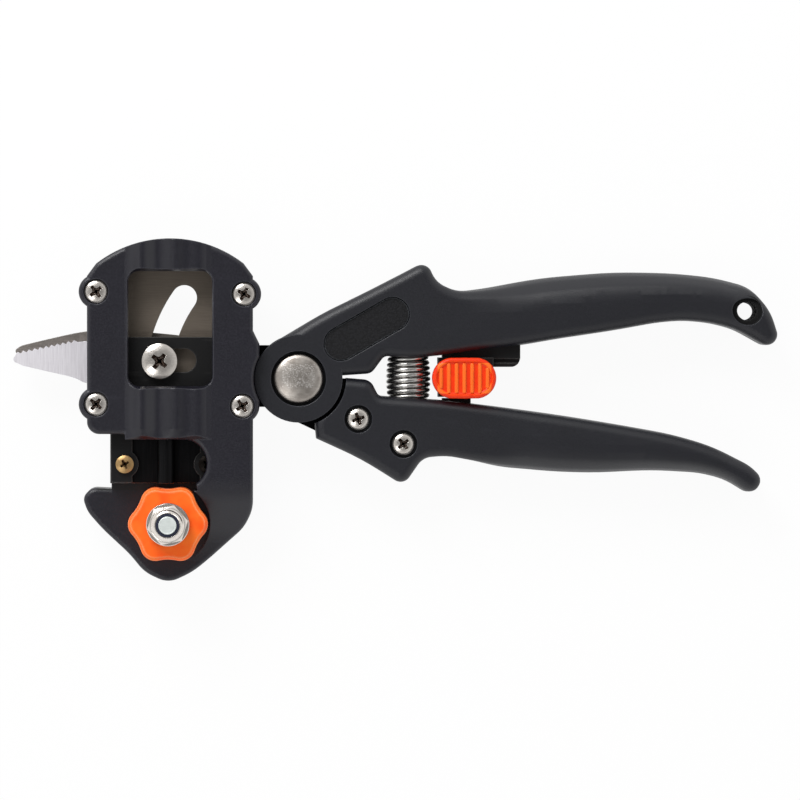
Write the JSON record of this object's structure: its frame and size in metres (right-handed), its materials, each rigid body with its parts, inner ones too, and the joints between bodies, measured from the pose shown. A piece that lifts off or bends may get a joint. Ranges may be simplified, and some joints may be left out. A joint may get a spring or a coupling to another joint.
{
  "type": "omega grafting tool",
  "caption": "Two-handled grafting pruner with an omega blade over a lobed anvil wheel, pruning jaws, a barrel spring and a slide lock.",
  "frame": {"origin": "on the pivot axis, in the plane that the tool lies on, at the rear face of the pivot nut", "axes": "+X from the pivot along the handles, +Y from the anvil up to the cover's dome, +Z out of the tool's front face, along the pivot"},
  "size_m": [0.2138, 0.0959, 0.0323],
  "materials": {
    "head_black": "black coated casting, fine grain",
    "handle_black": "moulded, fine grain",
    "inset_black": "fine stipple",
    "plate_steel": "ground steel plate",
    "blade_steel": "oiled blade steel",
    "spring_steel": "bright wire",
    "nickel": "nickel plated",
    "bronze": "yellow passivated",
    "nylon": "nylon locking ring",
    "wheel_orange": "moulded nylon",
    "button_orange": "moulded"
  },
  "bodies": {
    "frame": {"frame_plate": "plate_steel", "head_casting": "head_black", "cover_screws": "nickel", "upper_handle": "handle_black", "handle_inset": "inset_black", "tang_screws": "nickel", "tang_nuts": "nickel", "pivot_bolt": "nickel", "pivot_washer": "nickel", "pivot_nut": "nickel", "anvil_bolt": "nickel", "anvil_washer": "nickel", "anvil_nut": "nickel", "nut_collar": "nylon", "lock_rail": "handle_black", "spring_seat_upper": "spring_steel", "handle_spring": "spring_steel"},
    "lever": {"lever_plate": "plate_steel", "lower_handle": "handle_black", "grip_screws": "nickel", "grip_nuts": "nickel", "cam_screw": "nickel", "cam_roller": "nickel", "cam_nut": "nickel", "lock_keeper": "handle_black", "spring_seat_lower": "spring_steel"},
    "carrier": {"blade_carrier": "head_black", "omega_blade": "blade_steel", "blade_clamps": "head_black", "blade_screws": "bronze"},
    "anvil": {"anvil_wheel": "wheel_orange"},
    "lock": {"lock_button": "button_orange", "lock_slider": "handle_black"}
  },
  "joints": [
    {"name": "lever_hinge", "type": "hinge", "parent": "frame", "child": "lever", "pos_m": [0, 0, 0.0073], "axis": [0, 0, -1], "range_deg": [0, 27.5], "deforming": ["handle_spring"]},
    {"name": "carrier_slide", "type": "slide", "parent": "frame", "child": "carrier", "axis": [0, 1, 0], "range_m": [0, 0.0175]},
    {"name": "wheel_spin", "type": "hinge", "parent": "frame", "child": "anvil", "pos_m": [-0.0364, -0.0405, 0.0181], "axis": [0, 0, 1], "continuous": true},
    {"name": "lock_slide", "type": "slide", "parent": "frame", "child": "lock", "axis": [1, 0, 0], "range_m": [0, 0.0055]}
  ],
  "couplings": [
    {"joint": "carrier_slide", "follows": "lever_hinge", "m_per_rad": 0.0362}
  ]
}
